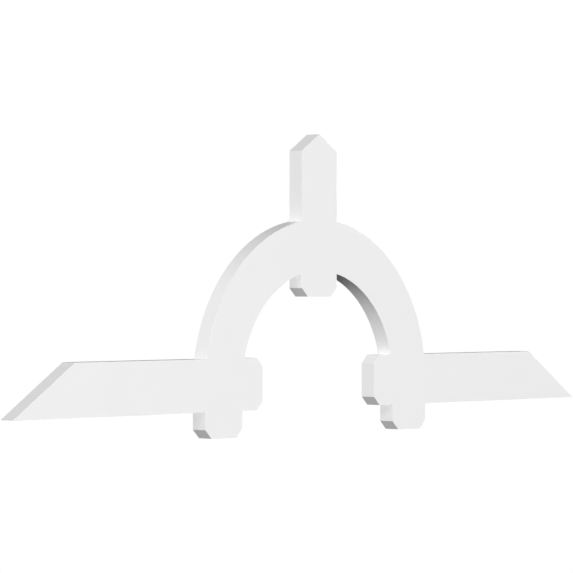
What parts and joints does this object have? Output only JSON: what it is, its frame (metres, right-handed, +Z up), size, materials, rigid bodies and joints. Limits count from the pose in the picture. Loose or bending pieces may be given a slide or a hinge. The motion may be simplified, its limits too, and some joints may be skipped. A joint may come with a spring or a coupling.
{
  "type": "gable bracket",
  "caption": "Flat gable-peak bracket: a round arch with leg tails, crossed by a pointed king post and split horizontal beams whose ends are cut to the roof slope.",
  "frame": {"origin": "on the back face, where the king post crosses the crown of the arch, at half the arch's width", "axes": "+X along the beams to the right seen from the front, +Y back into the gable wall, +Z up; the bracket faces -Y"},
  "size_m": [2.4384, 0.0508, 0.889],
  "materials": {
    "cellular_pvc": "smooth white sheet with a low satin sheen, edges cut by router"
  },
  "bodies": {
    "root": {"gable_bracket": "cellular_pvc"}
  },
  "joints": []
}
